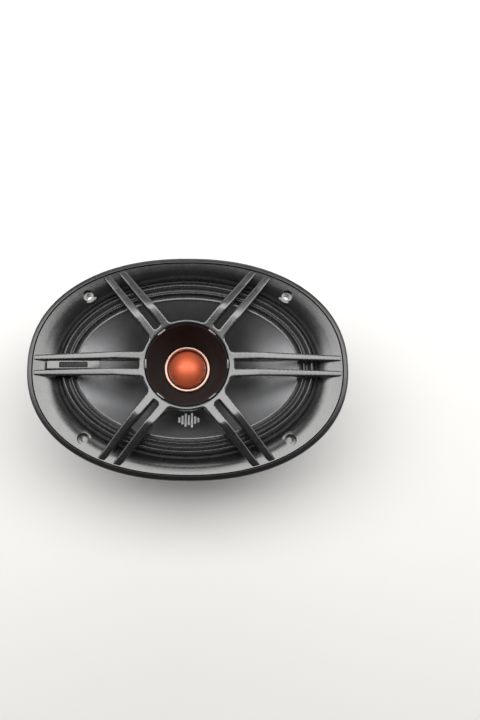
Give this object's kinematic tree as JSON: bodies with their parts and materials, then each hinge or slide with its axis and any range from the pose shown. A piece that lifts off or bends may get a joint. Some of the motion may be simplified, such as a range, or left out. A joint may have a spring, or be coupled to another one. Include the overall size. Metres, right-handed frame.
{
  "type": "coaxial car loudspeaker",
  "caption": "Oval coaxial loudspeaker with a spoked grille over its cone, a central dome tweeter, a pressed basket and a ring magnet.",
  "frame": {"origin": "centre of the yoke's rear face, which the loudspeaker stands on", "axes": "+Z out of the front of the loudspeaker, +X along the long axis of the oval, +Y along its short axis, away from the terminals"},
  "size_m": [0.2376, 0.1664, 0.1017],
  "materials": {
    "grille": "satin moulded plastic",
    "trim": "satin soft plastic",
    "black_plastic": "matt moulded plastic",
    "black_steel": "black powder coat",
    "zinc_steel": "bright zinc plate",
    "ferrite": "ground ferrite",
    "foam": "closed-cell foam",
    "paper": "pressed black pulp",
    "surround": "coated black cloth",
    "spider_cloth": "resin-treated yellow cloth",
    "fibre": "pressed fibre board",
    "kapton": "amber film",
    "copper": "bare copper",
    "brass": "bright brass",
    "rose_metal": "polished rose anodised",
    "orange_aluminium": "satin orange anodised",
    "neodymium": "nickel plate",
    "sleeve": "shrunk film sleeve",
    "red_wire": "insulated wire",
    "black_wire": "insulated wire"
  },
  "bodies": {
    "frame": {"yoke": "black_steel", "magnet": "ferrite", "top_plate": "zinc_steel", "motor_screw_1": "zinc_steel", "motor_screw_2": "zinc_steel", "motor_screw_3": "zinc_steel", "motor_screw_4": "zinc_steel", "pole_dust_ring": "foam", "basket": "black_steel", "mounting_gasket": "foam", "trim_ring": "trim", "grille": "grille", "grille_screw_1": "zinc_steel", "grille_screw_2": "zinc_steel", "grille_screw_3": "zinc_steel", "grille_screw_4": "zinc_steel", "badge_plate": "grille", "badge_insert": "black_plastic", "surround": "surround", "surround_gasket": "fibre", "spider": "spider_cloth", "tweeter_bowl": "black_plastic", "tweeter_bezel": "rose_metal", "tweeter_surround": "surround", "tweeter_pole_plate": "zinc_steel", "tweeter_magnet": "neodymium", "tweeter_yoke": "zinc_steel", "tweeter_housing": "black_plastic", "tweeter_post": "zinc_steel", "post_washer": "zinc_steel", "post_nut": "zinc_steel", "terminal_block": "black_plastic", "terminal_positive": "brass", "terminal_positive_rivet": "brass", "terminal_negative": "brass", "terminal_negative_rivet": "brass", "tinsel_lead_positive": "copper", "tinsel_lead_negative": "copper", "crossover_capacitor": "sleeve", "capacitor_lead": "zinc_steel", "tweeter_wire_positive": "red_wire", "tweeter_wire_negative": "black_wire"},
    "diaphragm": {"cone": "paper", "coil_former": "kapton", "voice_coil": "copper"},
    "dome": {"tweeter_dome": "orange_aluminium", "tweeter_coil": "kapton"}
  },
  "joints": [
    {"name": "cone_travel", "type": "slide", "parent": "frame", "child": "diaphragm", "axis": [0, 0, 1], "range_m": [-0.004, 0.004], "stiffness_N_per_m": 3000, "deforming": ["surround", "spider", "tinsel_lead_positive", "tinsel_lead_negative"]},
    {"name": "tweeter_travel", "type": "slide", "parent": "frame", "child": "dome", "axis": [0, 0, 1], "range_m": [-0.00025, 0.00025], "stiffness_N_per_m": 300, "deforming": ["tweeter_surround"]}
  ]
}
